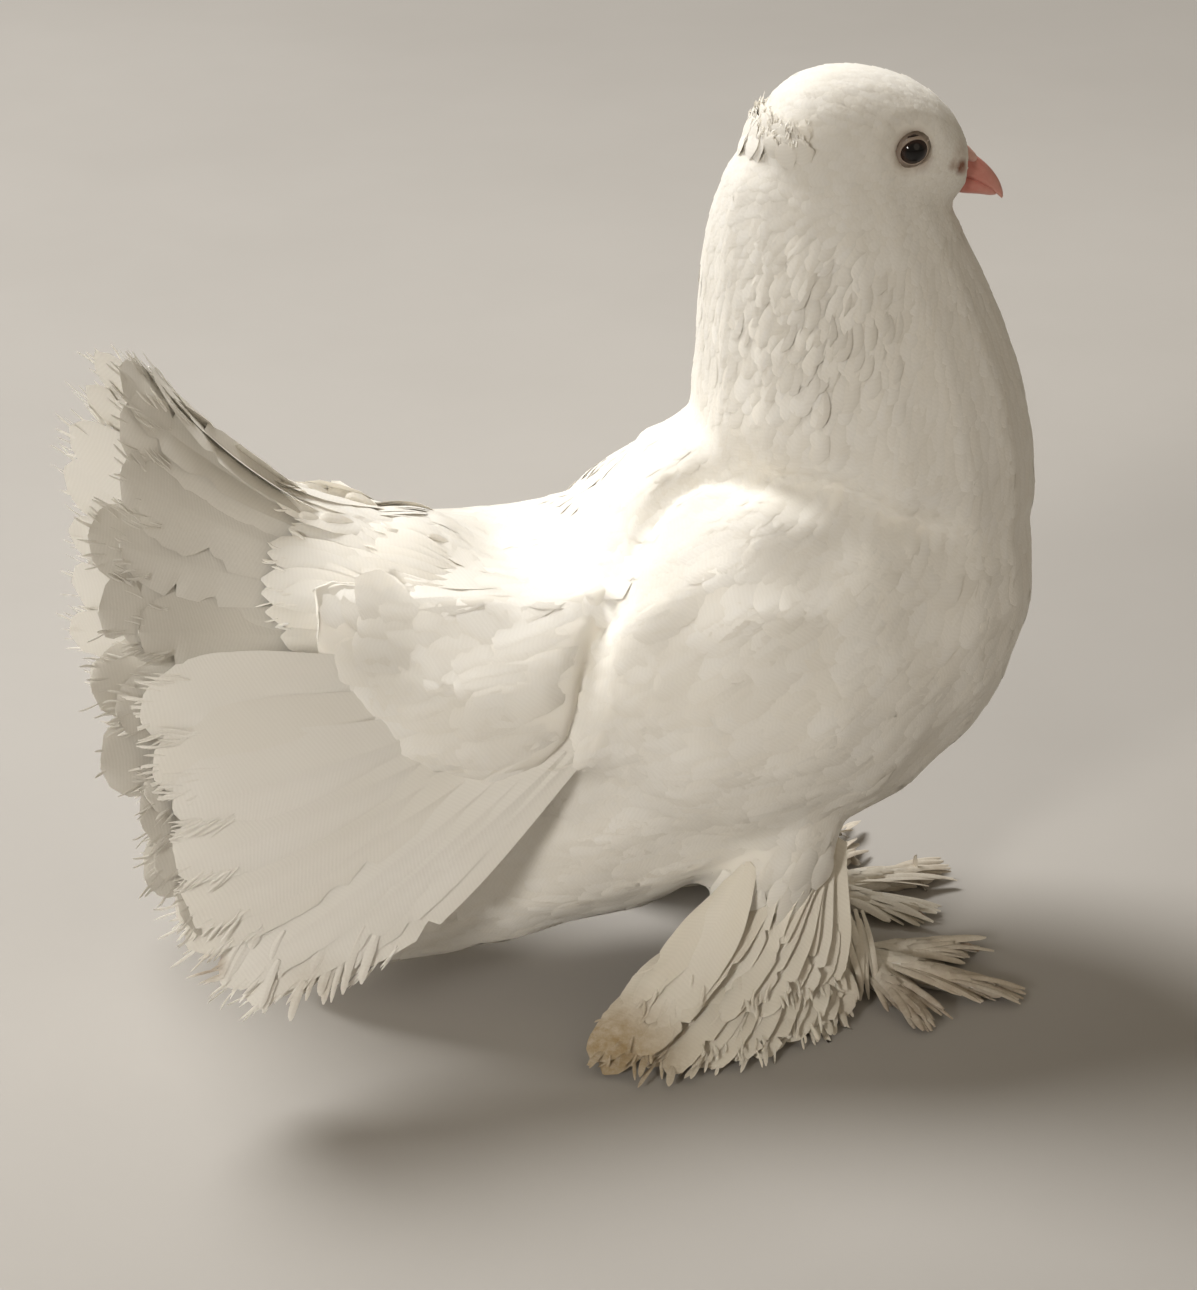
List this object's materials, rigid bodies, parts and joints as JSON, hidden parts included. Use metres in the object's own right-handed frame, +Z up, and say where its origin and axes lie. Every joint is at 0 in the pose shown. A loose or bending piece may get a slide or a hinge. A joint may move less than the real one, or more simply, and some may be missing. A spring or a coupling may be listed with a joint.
{
  "type": "fantail pigeon",
  "caption": "White fantail pigeon standing still, neck upright, tail fan held back and raised, long feather muffs on its feet and a small peak at the nape.",
  "frame": {"origin": "middle of the underside of the whole bird's box, on the floor", "axes": "+X towards the bill, +Y to the bird's left, +Z up"},
  "size_m": [0.2808, 0.1482, 0.2748],
  "materials": {
    "white_plumage": "matte",
    "flight_feathers": "satin",
    "muff_feathers": "matte",
    "bill_horn": "satin",
    "cere_skin": "matte",
    "eye": "gloss",
    "foot_skin": "matte",
    "claw_horn": "satin"
  },
  "bodies": {
    "root": {"head": "white_plumage", "crest": "white_plumage", "eye_left": "eye", "eye_right": "eye", "bill_upper": "bill_horn", "bill_lower": "bill_horn", "cere": "cere_skin", "neck": "white_plumage", "trunk": "white_plumage", "rump": "white_plumage", "wing_left": "white_plumage", "flights_left": "flight_feathers", "thigh_left": "white_plumage", "foot_left": "foot_skin", "shank_left": "white_plumage", "muff_left": "muff_feathers", "claw_left_inner": "claw_horn", "claw_left_middle": "claw_horn", "claw_left_outer": "claw_horn", "claw_left_hind": "claw_horn", "wing_right": "white_plumage", "flights_right": "flight_feathers", "thigh_right": "white_plumage", "foot_right": "foot_skin", "shank_right": "white_plumage", "muff_right": "muff_feathers", "claw_right_inner": "claw_horn", "claw_right_middle": "claw_horn", "claw_right_outer": "claw_horn", "claw_right_hind": "claw_horn", "tail_left_lower": "flight_feathers", "tail_left_upper": "flight_feathers", "tail_centre": "flight_feathers", "tail_right_upper": "flight_feathers", "tail_right_lower": "flight_feathers"}
  },
  "joints": []
}
